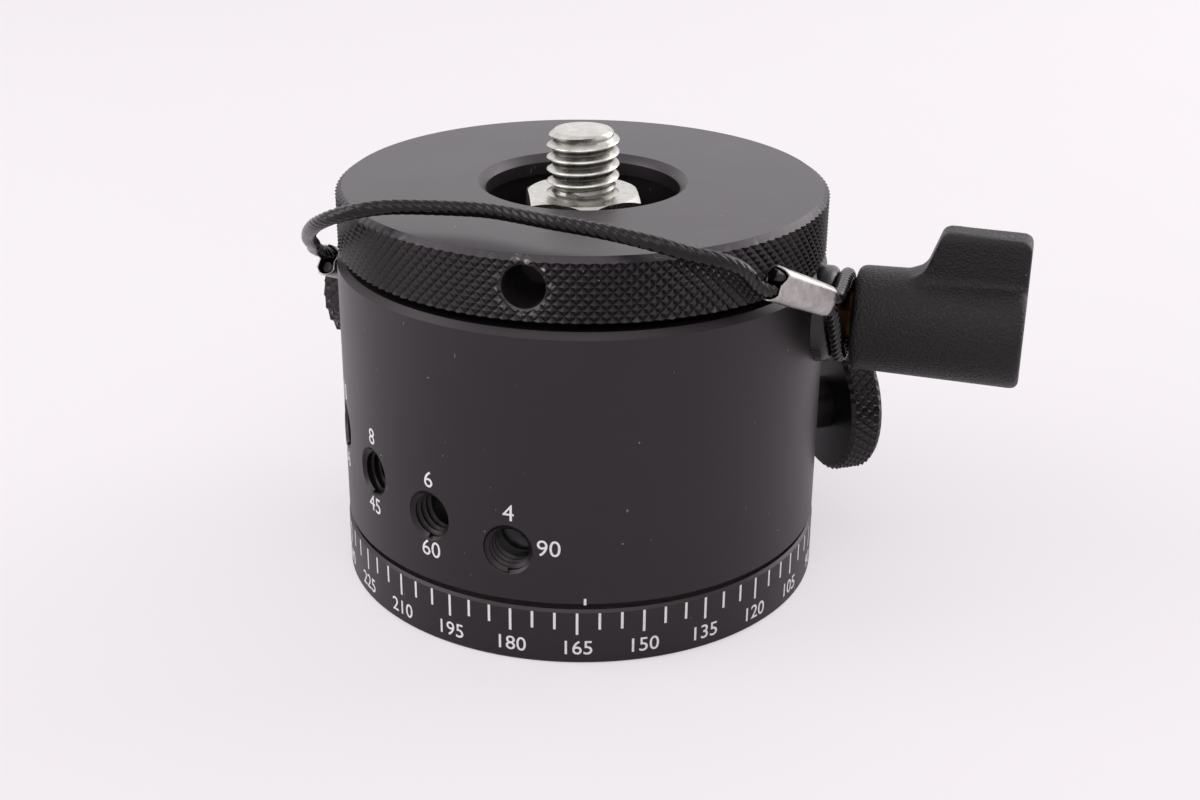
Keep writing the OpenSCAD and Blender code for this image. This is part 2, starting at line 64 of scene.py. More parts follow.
def outward(turn, height, reach=0.0):
    # the place of a piece made along +Z that stands on a level line out from the pan axis
    return (Matrix.Rotation(math.radians(turn), 4, "Z") @ Matrix.Translation((0, 0, height * mm))
            @ Matrix.Rotation(math.pi / 2, 4, "Y") @ Matrix.Translation((0, 0, reach * mm)))


def placed(name, data):
    thing = bpy.data.objects.new(name, data)
    bpy.context.scene.collection.objects.link(thing)
    return thing


def meshOf(bm, name):
    mesh = bpy.data.meshes.new(name)
    bm.to_mesh(mesh)
    bm.free()
    return mesh


def vertsOf(geom):
    return [part for part in geom if isinstance(part, bmesh.types.BMVert)]


def edgesOf(geom):
    return [part for part in geom if isinstance(part, bmesh.types.BMEdge)]


# Solved from the rims of the base, groove, collar and bore, in metres, degrees and millimetres
cameraSettings = {
    "place": (0, -0.21805, 0.11703), "turn": (66.4888, -0.5473, -0.4282), "lens": 51.58,
    "sensor": 36, "nearest": 0.005,
}
cameraData = bpy.data.cameras.new("camera")
cameraData.lens = cameraSettings["lens"]
cameraData.sensor_width = cameraSettings["sensor"]
cameraData.clip_start = cameraSettings["nearest"]
camera = placed("camera", cameraData)
camera.location = cameraSettings["place"]
camera.rotation_euler = [math.radians(a) for a in cameraSettings["turn"]]
bpy.context.scene.camera = camera
bpy.context.scene.view_settings.view_transform = "Standard"


def colour(code):
    # an sRGB hex value turned to linear
    parts = [int(code[i:i + 2], 16) / 255 for i in (1, 3, 5)]
    return [p / 12.92 if p <= 0.04045 else ((p + 0.055) / 1.055) ** 2.4 for p in parts] + [1]


def addNode(tree, kind, settings=None, links=None):
    node = tree.nodes.new("ShaderNode" + kind)
    for key, value in (settings or {}).items():
        if isinstance(key, int) or key in node.inputs:
            node.inputs[key].default_value = value
        else:
            setattr(node, key, value)
    for key, source in (links or {}).items():
        tree.links.new(source, node.inputs[key])
    return node


def newMaterial(name, shaderSettings):
    material = bpy.data.materials.new(name)
    material.use_nodes = True
    tree = material.node_tree
    tree.nodes.clear()
    shader = addNode(tree, "BsdfPrincipled", shaderSettings)
    addNode(tree, "OutputMaterial", links={"Surface": shader.outputs["BSDF"]})
    return material, tree, shader, addNode(tree, "TexCoord").outputs["Object"]


def patches(tree, place, size, low, high, detail=2.0, stretch=(1, 1, 1), turn=0):
    # soft patches about size metres across, nothing below low and full above high
    scaled = addNode(tree, "Mapping", {"Scale": [1 / (size * s) for s in stretch],
                                       "Rotation": (0, 0, math.radians(turn))}, {"Vector": place})
    cloud = addNode(tree, "TexNoise", {"Scale": 1.0, "Detail": detail}, {"Vector": scaled.outputs[0]})
    return addNode(tree, "MapRange", {"From Min": low, "From Max": high},
                   {"Value": cloud.outputs["Fac"]}).outputs["Result"]


def turnedMarks(tree, place, size):
    # fine lines that run round the pan axis: rings on a top face, hoops on a side
    parts = addNode(tree, "SeparateXYZ", links={0: place}).outputs
    flat = addNode(tree, "CombineXYZ", links={0: parts[0], 1: parts[1]}).outputs[0]
    reach = addNode(tree, "VectorMath", {"operation": "LENGTH"}, {0: flat}).outputs["Value"]
    rings = addNode(tree, "CombineXYZ", links={0: reach, 2: parts[2]}).outputs[0]
    return patches(tree, rings, size, 0.0, 1.0, 3.0)


def scratches(tree, place, size, turns, rarity):
    # thin straight scratches in a few directions, each a row of patches drawn out along its line
    softness, drawnOut = 0.03, (70, 1, 8)
    total = None
    for turn in turns:
        line = patches(tree, place, size, rarity, rarity + softness, 1.0, drawnOut, turn)
        if total is None:
            total = line
        else:
            total = addNode(tree, "Math", {"operation": "MAXIMUM"}, {0: total, 1: line}).outputs[0]
    return total


def dustSpecks(tree, place, spacing, radius, share):
    # small pale specks: one in each cell of the share that has any
    scaled = addNode(tree, "Mapping", {"Scale": [1 / spacing] * 3}, {"Vector": place})
    cells = addNode(tree, "TexVoronoi", {"Scale": 1.0}, {"Vector": scaled.outputs[0]})
    spot = addNode(tree, "Math", {"operation": "LESS_THAN", 1: radius / spacing},
                   {0: cells.outputs["Distance"]}).outputs[0]
    chance = addNode(tree, "SeparateXYZ", links={0: cells.outputs["Color"]}).outputs[0]
    some = addNode(tree, "Math", {"operation": "LESS_THAN", 1: share}, {0: chance}).outputs[0]
    return addNode(tree, "Math", {"operation": "MULTIPLY"}, {0: spot, 1: some}).outputs[0]


def laidOver(tree, tone, layers):
    # lays each colour over the last, where its mask is and as strongly as it says
    for mask, strength, code in layers:
        share = addNode(tree, "Math", {"operation": "MULTIPLY", 1: strength}, {0: mask}).outputs[0]
        settings, links = {"data_type": "RGBA", 7: colour(code)}, {0: share}
        if isinstance(tone, str):
            settings[6] = colour(tone)
        else:
            links[6] = tone
        tone = addNode(tree, "Mix", settings, links).outputs[2]
    return tone


def finished(tree, shader, tone, mask, roughness, relief, depth):
    # joins tone, a roughness that goes with the mask, and a relief depth millimetres deep
    gloss = addNode(tree, "MapRange", {"To Min": roughness[0], "To Max": roughness[1]},
                    {"Value": mask})
    bump = addNode(tree, "Bump", {"Strength": 1.0, "Distance": depth * mm}, {"Height": relief})
    tree.links.new(tone, shader.inputs["Base Color"])
    tree.links.new(gloss.outputs["Result"], shader.inputs["Roughness"])
    tree.links.new(bump.outputs["Normal"], shader.inputs["Normal"])


# What all the plastics share: the glint's tint, and pale dust specks in millimetres
plasticLook = {"tint": "#fff7f9", "speckGap": 1.3, "speckRadius": 0.07, "speckTone": "#b7b0b0"}


def moulded(name, look):
    # Moulded or extruded plastic: its grain, its gloss and the dust that the grain holds
    material, tree, shader, place = newMaterial(name, {
        "Metallic": 0.0, "IOR": look["ior"], "Specular Tint": colour(plasticLook["tint"])})
    pebble = patches(tree, place, look["grain"] * mm, 0.38, 0.62)
    specks = dustSpecks(tree, place, plasticLook["speckGap"] * mm, plasticLook["speckRadius"] * mm,
                        look["dust"])
    tone = laidOver(tree, look["dark"], [
        (pebble, 1.0, look["light"]), (specks, 0.5, plasticLook["speckTone"])])
    finished(tree, shader, tone, pebble, look["roughness"], pebble, look["depth"])
    return material


# Soft vinyl drawn tight over steel strands: near black, with a wet-looking streak along each
# ridge and a little dust that has stuck to it
ropeCoat = moulded("vinylCoatedWireRope", {
    "dark": "#080606", "light": "#0c0909", "ior": 1.38, "grain": 0.6, "depth": 0.008,
    "roughness": (0.12, 0.20), "dust": 0.16,
})


def facedOut(bm):
    # turns the faces outwards; a closed mesh whose volume comes out negative is inside out
    bmesh.ops.recalc_face_normals(bm, faces=bm.faces)
    if bm.calc_volume(signed=True) < 0 and not any(e.is_boundary for e in bm.edges):
        bmesh.ops.reverse_faces(bm, faces=bm.faces)


def addPiece(bm, name, materials, body, replaced=(), sharp=35):
    # smooth all over, apart from the edges that turn by more than sharp degrees
    facedOut(bm)
    for face in bm.faces:
        face.smooth = True
    for edge in bm.edges:
        edge.smooth = edge.calc_face_angle(0) < math.radians(sharp)
    mesh = meshOf(bm, name)
    for material in materials:
        mesh.materials.append(material)
    piece = placed(name, mesh)
    if body:
        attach(piece, body)
    if replaced:
        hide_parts(*replaced)
    return piece


def drawn(bm, outline, closed=False):
    # a line through the outline's points, each a radius and a height in millimetres
    points = [bm.verts.new((r * mm, 0, z * mm)) for r, z in outline]
    following = points[1:] + points[:1] if closed else points[1:]
    return points, [bm.edges.new(pair) for pair in zip(points, following)]


def wound(bm, outline, look, turns, closed=False):
    # winds the outline up round +Z as a screw thread, and gives its first and its last edges
    points, edges = drawn(bm, outline, closed)
    made = bmesh.ops.spin(bm, geom=points + edges, cent=(0, 0, 0), axis=(0, 0, 1),
                          dvec=(0, 0, look["pitch"] * mm / look["steps"]),
                          angle=2 * math.pi * turns, steps=look["steps"] * turns, use_merge=False)
    return edges, edgesOf(made["geom_last"])


def spun(profile, steps):
    # the profile's radii and heights spun round +Z to a closed piece
    bm = bmesh.new()
    points, edges = drawn(bm, profile)
    bmesh.ops.spin(bm, geom=points + edges, cent=(0, 0, 0), axis=(0, 0, 1), dvec=(0, 0, 0),
                   angle=2 * math.pi, steps=steps, use_merge=True)
    bmesh.ops.remove_doubles(bm, verts=bm.verts, dist=1e-7)
    return bm


# The tether: twisted wire rope from the wing's sleeve over the collar to the plunger's sleeve.
# Its route and the eyes' necks are in millimetres and degrees
ropeLook = {
    "radius": 0.95, "strands": 7, "lay": 8.5, "groove": 0.19, "ridge": 0.8, "around": 42,
    "ring": 0.3, "leads": (0, 1.8, 3.1), "inSleeve": 1.5,
}
necks = {
    "lock": {"turn": -15.5, "height": 38.5, "reach": 35.3, "radius": 5.15,
             "ends": ((22.4, -25.8, 48.7), (30, -20, 44.3))},
    "plunger": {"turn": -226.2, "height": 28.1, "reach": 36.55, "radius": 4.65,
                "ends": ((-36, 11, 38.6), (-32.4, 19, 34.3))},
}
eyeLook = {"points": 9, "from": 72, "step": 27, "lean": 0.12}
ropeRoute = [
    (20, -27.8, 49.5), (19.2, -28.9, 50.8), (17.8, -30.2, 52.2), (15.4, -31.4, 53.4),
    (12.1, -32, 54.3), (8.1, -32.3, 55.6), (4.2, -30.8, 56.1), (0.4, -29, 56.3), (-3.4, -27.2, 56.4),
    (-7, -25, 56.4), (-10.6, -23, 56.4), (-14.6, -21.7, 56.3), (-22.3, -20.6, 56.1),
    (-26.5, -20.4, 55.6), (-30, -18.8, 54.3), (-32.4, -15.8, 52.5), (-33.8, -12.3, 50.7),
    (-34.8, -8.6, 48.9), (-35.5, -4.9, 47), (-35.8, -1.1, 45.2), (-36.1, 2.1, 43.8),
    (-36.5, 4.7, 42.6), (-36.7, 6.9, 41.7), (-36.7, 8.7, 40.9),
]


def sleeveFrame(ends):
    # a sleeve's two ends, the way along it and the way across it that points most upwards
    start, end = (Vector(p) for p in ends)
    along = (end - start).normalized()
    across = (upwards - along * upwards.dot(along)).normalized()
    return start, end, along, across


def strandEnd(ends, atEye, side):
    # where a strand starts, just inside the sleeve's end at the eye or at its mouth
    start, end, along, across = sleeveFrame(ends)
    foot = end if atEye else start
    inwards = -ropeLook["inSleeve"] if atEye else ropeLook["inSleeve"]
    return foot + across * (side * ropeLook["radius"]) + along * inwards


def curvePoints(points, steps):
    # a smooth line through the points
    points = [Vector(p) for p in points]
    last = len(points) - 1
    line = []
    for i in range(last):
        a, b, c, d = points[max(i - 1, 0)], points[i], points[i + 1], points[min(i + 2, last)]
        for k in range(steps):
            u = k / steps
            line.append((b * 2 + (c - a) * u + (a * 2 - b * 5 + c * 4 - d) * u * u
                         + (b * 3 - a - c * 3 + d) * u ** 3) / 2)
    return line + [points[last]]


def evenly(line, gap):
    # the same line with its points about one gap apart, and its length
    reach = [0.0]
    for a, b in zip(line, line[1:]):
        reach.append(reach[-1] + (b - a).length)
    count = round(reach[-1] / gap)
    spaced, k = [], 0
    for i in range(count + 1):
        want = reach[-1] * i / count
        while k < len(line) - 2 and reach[k + 1] < want:
            k += 1
        share = (want - reach[k]) / (reach[k + 1] - reach[k])
        spaced.append(line[k].lerp(line[k + 1], min(max(share, 0), 1)))
    return spaced, reach[-1]


def makeRope(name, points, body, replaced, smoothing=8):
    # a grid wrapped into a tube along the line, with one rounded ridge for each strand
    line, length = evenly(curvePoints(points, smoothing), ropeLook["ring"])
    rings, around = len(line) - 1, ropeLook["around"]
    tangents = [(line[min(i + 1, rings)] - line[max(i - 1, 0)]).normalized() for i in range(rings + 1)]
    side = tangents[0].orthogonal().normalized()
    sides = []
    for tangent in tangents:
        side = (side - tangent * side.dot(tangent)).normalized()
        sides.append(side.copy())
    bm = bmesh.new()
    bmesh.ops.create_grid(bm, x_segments=around, y_segments=rings, size=0.5)
    for vert in bm.verts:
        angle = 2 * math.pi * (vert.co.x + 0.5)
        i = round((vert.co.y + 0.5) * rings)
        twist = angle - 2 * math.pi * length * i / rings / ropeLook["lay"]
        ridge = abs(math.cos(twist * ropeLook["strands"] / 2)) ** ropeLook["ridge"]
        reach = ropeLook["radius"] * (1 - ropeLook["groove"] * (1 - ridge))
        other = tangents[i].cross(sides[i])
        vert.co = (line[i] + sides[i] * (reach * math.cos(angle))
                   + other * (reach * math.sin(angle))) * mm
    bmesh.ops.remove_doubles(bm, verts=bm.verts, dist=1e-7)
    bmesh.ops.holes_fill(bm, edges=[e for e in bm.edges if e.is_boundary], sides=0)
    rope = addPiece(bm, name, [ropeCoat], body, replaced, 50)
    return rope, [[c * mm for c in p] for p in line], length * mm


def eyeRoute(neck):
    # out of the sleeve, round the neck and back into the sleeve beside itself
    turn = math.radians(neck["turn"])
    out = Vector((math.cos(turn), math.sin(turn), 0))
    middle = out * neck["reach"] + upwards * neck["height"]
    level = out.cross(upwards)
    _, end, along, across = sleeveFrame(neck["ends"])
    foot = end - middle
    lean = foot.dot(out)
    first = math.degrees(math.atan2(foot.z, foot.dot(level)))
    quarter = math.radians(first + 90)
    flip = 1 if across.dot(level * math.cos(quarter) + upwards * math.sin(quarter)) > 0 else -1
    half = (eyeLook["points"] - 1) / 2
    loop = []
    for i in range(eyeLook["points"]):
        a = math.radians(first + eyeLook["from"] + eyeLook["step"] * i)
        loop.append(middle + (level * math.cos(a) + upwards * math.sin(a)) * neck["radius"]
                    + out * (lean * eyeLook["lean"] * (abs(i - half) / half) ** 2))
    leads = ropeLook["leads"]
    return ([strandEnd(neck["ends"], True, flip) + along * k for k in leads] + loop
            + [strandEnd(neck["ends"], True, -flip) + along * k for k in reversed(leads)])


def tetherRoute():
    lockEnds, plungerEnds = necks["lock"]["ends"], necks["plunger"]["ends"]
    lockAlong, plungerAlong = sleeveFrame(lockEnds)[2], sleeveFrame(plungerEnds)[2]
    start, finish = strandEnd(lockEnds, False, -1), strandEnd(plungerEnds, False, 1)
    leads = ropeLook["leads"]
    return ([start - lockAlong * k for k in leads] + ropeRoute
            + [finish - plungerAlong * k for k in reversed(leads)])


tether, tetherLine, tetherLength = makeRope("wireTether", tetherRoute(), None, ["tether_rope"])
makeRope("wireEyeAtWing", eyeRoute(necks["lock"]), "housing", ["lock_eye"])
makeRope("wireEyeAtPlunger", eyeRoute(necks["plunger"]), "plunger_slider", ["plunger_eye"])
print("tether", round(tetherLength, 4), "m")
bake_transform(tether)


# What all the dyed aluminium shares, with its patches and specks in millimetres
dyeLook = {
    "tint": "#fff4fb", "cloud": 11, "scratch": 0.16, "scratchTone": "#9c9598",
    "speckGap": 1.7, "speckRadius": 0.075, "speckTone": "#cfc8c8", "wear": 0.35, "bareTone": "#d5d2d0",
}


def anodised(name, look):
    # Black anodised aluminium, turned and then dyed: a satin sheen that brightens towards the
    # edges, faint marks of the lathe, dust and a few hairline scratches
    material, tree, shader, place = newMaterial(name, {
        "Metallic": 0.0, "IOR": look["ior"], "Specular Tint": colour(dyeLook["tint"])})
    marks = turnedMarks(tree, place, look["marks"] * mm)
    cloud = patches(tree, place, dyeLook["cloud"] * mm, 0.3, 0.7, 3.0)
    hairlines = scratches(tree, place, dyeLook["scratch"] * mm, look["scratchTurns"],
                          look["scratchRarity"])
    specks = dustSpecks(tree, place, dyeLook["speckGap"] * mm, dyeLook["speckRadius"] * mm,
                        look["dust"])
    layers = [(cloud, 1.0, look["light"]), (hairlines, 0.4, dyeLook["scratchTone"]),
              (specks, 0.7, dyeLook["speckTone"])]
    if look["worn"]:
        worn = addNode(tree, "Attribute", {"attribute_name": "worn"}).outputs["Fac"]
        broken = patches(tree, place, dyeLook["wear"] * mm, 0.42, 0.6)
        bare = addNode(tree, "Math", {"operation": "MULTIPLY"}, {0: worn, 1: broken}).outputs[0]
        layers.append((bare, 1.0, dyeLook["bareTone"]))
    finished(tree, shader, laidOver(tree, look["dark"], layers), cloud, look["roughness"], marks,
             look["markDepth"])
    return material


# Anodised sides: dark in front and pale where they turn away, with hoops too fine to count
satin = anodised("satinAnodisedAluminium", {
    "dark": "#141012", "light": "#181416", "ior": 1.46, "roughness": (0.37, 0.41),
    "marks": 0.32, "markDepth": 0.010, "scratchTurns": (15, 70), "scratchRarity": 0.80, "dust": 0.10,
    "worn": False,
})
# The collar's faced top: an even grey sheen, hairlines in all directions and no cloudiness
turnedFace = anodised("turnedAnodisedAluminium", {
    "dark": "#1c181b", "light": "#1e1a1d", "ior": 1.58, "roughness": (0.37, 0.39),
    "marks": 0.4, "markDepth": 0.008, "scratchTurns": (12, 38, 104, 151), "scratchRarity": 0.775,
    "dust": 0.12, "worn": True,
})
# Rolled knurl: near black, because each hollow holds dye and grime, with a glint on its crests
knurled = anodised("knurledAnodisedAluminium", {
    "dark": "#0c0a0b", "light": "#100e0f", "ior": 1.40, "roughness": (0.32, 0.38),
    "marks": 0.3, "markDepth": 0.005, "scratchTurns": (30,), "scratchRarity": 0.82,
    "dust": 0.14, "worn": True,
})


def plated(name, look):
    # Bare or plated metal: bright, with fine lines from its working and a slight change of tint
    material, tree, shader, place = newMaterial(name, {"Metallic": 1.0})
    cloud = patches(tree, place, look["cloud"] * mm, 0.33, 0.67, 4.0)
    hairlines = scratches(tree, place, look["scratch"] * mm, (20, 75, 130), look["rarity"])
    layers = [(cloud, 1.0, look["light"]), (hairlines, look["hair"], look["mark"])]
    # painted shade: a dark colour laid over the roots of a thread, where its flanks shade each other
    if look.get("paintedRootShade"):
        rootShadeMask = addNode(tree, "Attribute", {"attribute_name": "paintedRootShade"}).outputs["Fac"]
        layers.append((rootShadeMask, 0.7, look["paintedRootShade"]))
    finished(tree, shader, laidOver(tree, look["dark"], layers), cloud, look["roughness"],
             patches(tree, place, look["grain"] * mm, 0.0, 1.0, 3.0), look["depth"])
    return material


# Zinc plate on steel: bright crests, a warm grey cast, and painted shade laid into the roots of the
# thread
zincPlate = plated("brightZincPlatedSteel", {
    "dark": "#bab8b0", "light": "#cfcec9", "cloud": 1.3, "scratch": 0.1, "rarity": 0.70, "hair": 0.4,
    "mark": "#7f7a6e", "roughness": (0.24, 0.34), "grain": 0.5, "depth": 0.015, "paintedRootShade": "#3f3b36",
})
# Aluminium pressed between jaws: dull pale grey with soft streaks along the squeeze
crimpMetal = plated("crimpedAluminium", {
    "dark": "#a09a98", "light": "#bcb7b5", "cloud": 1.4, "scratch": 0.12, "rarity": 0.70, "hair": 0.4,
    "mark": "#efecea", "roughness": (0.27, 0.36), "grain": 0.6, "depth": 0.02,
})
# Turned steel: cool grey, finely lined, half bright
turnedSteel = plated("turnedSteel", {
    "dark": "#8f8f8f", "light": "#b9b9b8", "cloud": 2.0, "scratch": 0.12, "rarity": 0.75, "hair": 0.3,
    "mark": "#6f6d6a", "roughness": (0.22, 0.34), "grain": 0.3, "depth": 0.01,
})
# Bare turned aluminium: paler and softer than steel
bareAluminium = plated("bareTurnedAluminium", {
    "dark": "#b5b6b8", "light": "#cfd0d2", "cloud": 2.5, "scratch": 0.12, "rarity": 0.78, "hair": 0.3,
    "mark": "#8d8c8a", "roughness": (0.26, 0.38), "grain": 0.3, "depth": 0.01,
})
# Brass with its colour lowered to a dark brown as a painted dark reflection of the surroundings,
# bright only along fine rubbed hairlines
brassMetal = plated("brassPaintedDarkReflection", {
    "dark": "#33240f", "light": "#4d381a", "cloud": 2.2, "scratch": 0.1, "rarity": 0.76, "hair": 0.3,
    "mark": "#c9a35a", "roughness": (0.24, 0.36), "grain": 0.3, "depth": 0.008,
})
# Bearing bronze: a dull red-brown, as it is bored
bronzeMetal = plated("bearingBronze", {
    "dark": "#8a6237", "light": "#a97c48", "cloud": 1.5, "scratch": 0.1, "rarity": 0.78, "hair": 0.3,
    "mark": "#6b4a28", "roughness": (0.3, 0.42), "grain": 0.25, "depth": 0.01,
})
# Glass-filled nylon from a spark-eroded mould: a fine pebble that glitters softly all over
grainedNylon = moulded("grainedBlackNylon", {
    "dark": "#0c0a0b", "light": "#121011", "ior": 1.38, "grain": 0.3, "depth": 0.07,
    "roughness": (0.50, 0.34), "dust": 0.16,
})
# Smooth moulded plastic: deep black with one clear highlight
blackPlastic = moulded("smoothBlackPlastic", {
    "dark": "#0e0d0f", "light": "#131214", "ior": 1.5, "grain": 1.5, "depth": 0.01,
    "roughness": (0.22, 0.34), "dust": 0.12,
})
# Unfilled acetal: milky white and slightly waxy
whiteAcetal = moulded("naturalAcetal", {
    "dark": "#d8d4c9", "light": "#e5e1d6", "ior": 1.48, "grain": 1.2, "depth": 0.01,
    "roughness": (0.34, 0.46), "dust": 0.02,
})
# White ink, pad printed on the anodising: flat, with a slightly uneven cover
inkLook = {"thin": "#b9b4b6", "full": "#e6e2e3", "ior": 1.45, "patch": 0.22,
           "roughness": (0.62, 0.5), "depth": 0.004}
whiteInk, inkTree, inkShader, inkPlace = newMaterial("whitePrintedInk", {"IOR": inkLook["ior"]})
inkCover = patches(inkTree, inkPlace, inkLook["patch"] * mm, 0.25, 0.4)
inkTone = laidOver(inkTree, inkLook["thin"], [(inkCover, 1.0, inkLook["full"])])
finished(inkTree, inkShader, inkTone, inkCover, inkLook["roughness"], inkCover, inkLook["depth"])

nodeFinishes = {
    "base_plate": satin, "housing": satin, "stud_plug": satin, "collar": turnedFace,
    "tripod_bush": turnedSteel, "spindle": turnedSteel, "drum_screws": turnedSteel,
    "wave_washer": turnedSteel, "spindle_washer": turnedSteel, "spindle_nut": turnedSteel,
    "drag_screw": turnedSteel, "plunger_barrel": turnedSteel, "index_pin": turnedSteel,
    "plunger_spring": turnedSteel, "index_drum": bareAluminium, "thrust_ring": whiteAcetal,
    "lock_pad": whiteAcetal, "drag_pad": whiteAcetal, "bronze_bush": bronzeMetal,
    "camera_stud": zincPlate, "stud_nut": zincPlate, "stud_washer": zincPlate,
    "lock_bush": blackPlastic, "lock_screw": brassMetal, "wing_knob": grainedNylon,
    "drag_knob": knurled, "plunger_knob": knurled, "tether_rope": ropeCoat, "lock_eye": ropeCoat,
    "plunger_eye": ropeCoat, "lock_sleeve": crimpMetal, "plunger_sleeve": crimpMetal,
}
for name, finish in nodeFinishes.items():
    nodes[name].data.materials.clear()
    nodes[name].data.materials.append(finish)
print("materials done")


def knurl(bm, look):
    # presses a diamond knurl into the band of a turned piece: each second point goes in, and
    # the quads between them are split from hollow to hollow
    crest, depth, rows = look["radius"], look["depth"], look["rows"]
    near, flat = 0.01, 0.1  # how far off the band a point may be, and the rise of a flat face
    levels = [look["from"] + (look["to"] - look["from"]) * i / rows for i in range(rows + 1)]
    hollows, crests = set(), []
    for vert in bm.verts:
        reach = math.hypot(vert.co.x, vert.co.y) / mm
        height = vert.co.z / mm
        if abs(reach - crest) > near or not levels[0] - near < height < levels[-1] + near:
            continue
        row = round((height - levels[0]) / (levels[1] - levels[0]))
        step = round(math.atan2(vert.co.y, vert.co.x) / (math.pi / look["around"]))
        if (row + step) % 2:
            if 0 < row < rows:
                crests.append(vert)
        else:
            hollows.add(vert)
    band = [f for f in bm.faces if len(f.verts) == 4 and sum(v in hollows for v in f.verts) == 2
            and max(v.co.z for v in f.verts) - min(v.co.z for v in f.verts) > flat * mm]
    for face in band:
        ends = [v for v in face.verts if v in hollows]
        bmesh.utils.face_split(face, ends[0], ends[1])
    for vert in hollows:
        reach = math.hypot(vert.co.x, vert.co.y)
        share = (reach - depth * mm) / reach
        vert.co.x *= share
        vert.co.y *= share
    bmesh.ops.bevel(bm, geom=crests, offset=look["flat"] * mm, offset_type="OFFSET", segments=1,
                    profile=0.5, affect="VERTICES", material=-1, clamp_overlap=True)


def applied(piece):
    # makes the piece's modifiers part of its mesh
    bpy.context.view_layer.update()
    shaped = piece.evaluated_get(bpy.context.evaluated_depsgraph_get())
    mesh = bpy.data.meshes.new_from_object(shaped)
    piece.modifiers.clear()
    old = piece.data
    piece.data = mesh
    bpy.data.meshes.remove(old)


collarLook = {
    "radius": 32.25, "bottom": 45.4, "top": 53.7, "bore": 12.74, "chamfer": 1.0,
    "well": 21.1, "wellTop": 51.0, "footChamfer": 0.75, "lipIn": 0.25, "lipDown": 0.62,
    "knurlFrom": 45.75, "knurlTo": 53.0, "around": 140, "rows": 10, "depth": 0.42, "flat": 0.13,
    "tommyTurn": -102.4, "tommyHeight": 49.799, "tommyRadius": 2.7, "tommyEnd": 22.6,
    "countersink": 3.35, "sinkDepth": 0.55,
}
# How much of the dye is gone where the countersink has cut the crests, and along the knurl
wearLook = {"seed": 5, "rim": 0.22, "upperEdge": 0.4, "upper": 1.0, "lower": 0.35, "crests": 0.22}


def makeCollar(look):
    r, top, c = look["radius"], look["top"], look["chamfer"]
    rows = look["rows"]
    band = [(r, look["knurlFrom"] + (look["knurlTo"] - look["knurlFrom"]) * i / rows)
            for i in range(rows + 1)]
    well = (look["well"], look["wellTop"])
    profile = [well, (look["well"], look["bottom"]), (r - look["footChamfer"], look["bottom"])]
    profile += band + [(r - c, top), (look["bore"] + c, top),
                       (look["bore"] + look["lipIn"], top - c * look["lipDown"]),
                       (look["bore"], top - c), (look["bore"], look["wellTop"]), well]
    bm = spun(profile, 2 * look["around"])
    knurl(bm, {"radius": r, "from": look["knurlFrom"], "to": look["knurlTo"], "rows": rows,
               "around": look["around"], "depth": look["depth"], "flat": look["flat"]})
    for face in bm.faces:
        middle = face.calc_center_median()
        reach = math.hypot(*middle.xy) / mm
        if reach > r - look["depth"] - 0.1 and middle.z < (look["knurlTo"] + 0.01) * mm:
            face.material_index = 1
    collar = addPiece(bm, "knurledCollar", [turnedFace, knurled], "collar",
                      ["collar"], 28)
    hole, sink = look["tommyRadius"], look["countersink"]
    clear = r + 3
    cutter = spun([(0, look["tommyEnd"]), (hole, look["tommyEnd"]), (hole, r - look["sinkDepth"]),
                   (sink, r + 0.1), (sink, clear), (0, clear)], 48)
    cutter.transform(outward(look["tommyTurn"], look["tommyHeight"]))
    facedOut(cutter)
    cutterMesh = meshOf(cutter, "tommyCutter")
    cutterMesh.materials.append(turnedFace)
    tool = placed("tommyCutter", cutterMesh)
    cut = collar.modifiers.new("tommyHole", "BOOLEAN")
    cut.operation = "DIFFERENCE"
    cut.solver = "EXACT"
    cut.object = tool
    applied(collar)
    bpy.data.objects.remove(tool)
    axis = outward(look["tommyTurn"], look["tommyHeight"]).inverted()
    worn = collar.data.attributes.new("worn", "FLOAT", "POINT")
    chance = random.Random(wearLook["seed"])
    for vert in collar.data.vertices:
        local = axis @ vert.co
        ring = math.hypot(local.x, local.y) / mm
        reach = math.hypot(*vert.co.xy) / mm
        share = 0.0
        if local.z > 0 and abs(ring - sink) < wearLook["rim"] and reach > r - 0.3:
            upper = local.x < -wearLook["upperEdge"] * sink * mm
            share = wearLook["upper" if upper else "lower"] * chance.uniform(0.5, 1)
        elif reach > r - 0.03:
            share = wearLook["crests"] * chance.random() ** 4
        worn.data[vert.index].value = share


makeCollar(collarLook)
print("collar done")

# The two knurled knobs: their place on the housing, and what both have at their edge and face
knobEdge = {"chamfer": 0.6, "dishShare": 0.6, "dishDepth": 0.5}
dragLook = {"turn": 18.0, "height": 17.2, "reach": 36.9, "radius": 10.1, "length": 4.7,
            "boss": 3.75, "bossLength": 3.9, "bore": 2.95, "boreDepth": 3.29,
            "around": 44, "rows": 4, "depth": 0.42, "flat": 0.14}
plungerLook = {"turn": -226.2, "height": 28.1, "reach": 37.95, "radius": 10.4, "length": 7.9,
               "boss": 3.25, "bossLength": 0.0, "bore": 2.95, "boreDepth": 4.0,
               "around": 30, "rows": 6, "depth": 0.6, "flat": 0.2}


